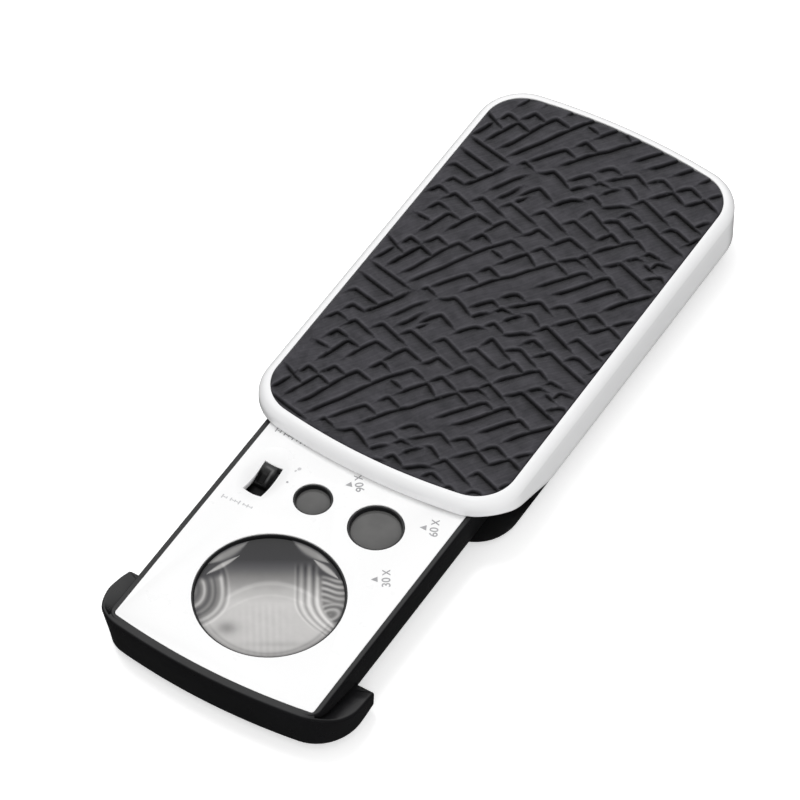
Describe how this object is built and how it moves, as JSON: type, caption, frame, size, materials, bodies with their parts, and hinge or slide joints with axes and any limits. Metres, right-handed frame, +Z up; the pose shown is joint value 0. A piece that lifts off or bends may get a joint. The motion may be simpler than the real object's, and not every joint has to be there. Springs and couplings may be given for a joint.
{
  "type": "pocket slide-out banknote and detail checker",
  "caption": "Flat pocket sleeve with an embossed pad, from which a lens tray with magnifiers, lamps and a slide switch pulls out; batteries sit in the tray.",
  "frame": {"origin": "on the sleeve's centreline, at the sleeve's mid-length, on its flat bottom face", "axes": "+Z up out of the embossed pad, +Y towards the sleeve's rear end; the lens tray slides out of the front end towards -Y; +X to the right when looking along +Y"},
  "size_m": [0.0588, 0.1615, 0.0143],
  "materials": {
    "cover_white": "glossy white moulded plastic",
    "pad_charcoal": "satin charcoal leatherette, embossed with overlapping slats",
    "shell_black": "fine-textured black plastic",
    "tray_black": "satin black plastic",
    "plate_white": "smooth white plastic",
    "lens_clear": "polished clear acrylic",
    "lens_dark": "polished lens over a dark barrel",
    "board_green": "green solder mask",
    "component_black": "black moulding compound",
    "lamp_clear": "clear epoxy with yellow phosphor",
    "lamp_violet": "clear epoxy with a violet tint",
    "knob_black": "satin black plastic",
    "steel": "bright steel",
    "contact_brass": "plated brass strip",
    "wire_sleeve": "PVC wire sleeving"
  },
  "bodies": {
    "sleeve": {"top_cover": "cover_white", "top_pad": "pad_charcoal", "bottom_shell": "shell_black", "sleeve_screws": "steel", "friction_springs": "steel"},
    "battery_door": {"battery_door": "shell_black"},
    "tray": {"tray_body": "tray_black", "face_plate": "plate_white", "lens_30x": "lens_clear", "lens_ring_30x": "tray_black", "barrel_60x": "tray_black", "lens_60x": "lens_dark", "objective_60x": "lens_clear", "barrel_90x": "tray_black", "lens_90x": "lens_dark", "objective_90x": "lens_clear", "circuit_board": "board_green", "resistors": "component_black", "white_leds": "lamp_clear", "uv_led": "lamp_violet", "switch_housing": "steel", "button_cells": "steel", "cell_top_contacts": "contact_brass", "cell_bottom_contacts": "contact_brass", "cell_lid": "shell_black", "lead_wires": "wire_sleeve", "tray_screws": "steel"},
    "switch_lever": {"switch_lever": "knob_black"}
  },
  "joints": [
    {"name": "tray_slide", "type": "slide", "parent": "sleeve", "child": "tray", "axis": [0, 1, 0], "range_m": [-0.003, 0.0574]},
    {"name": "switch_slide", "type": "slide", "parent": "tray", "child": "switch_lever", "axis": [0, 1, 0], "range_m": [-0.0032, 0]},
    {"name": "battery_door_slide", "type": "slide", "parent": "sleeve", "child": "battery_door", "axis": [0, 1, 0], "range_m": [0, 0.0225]}
  ]
}
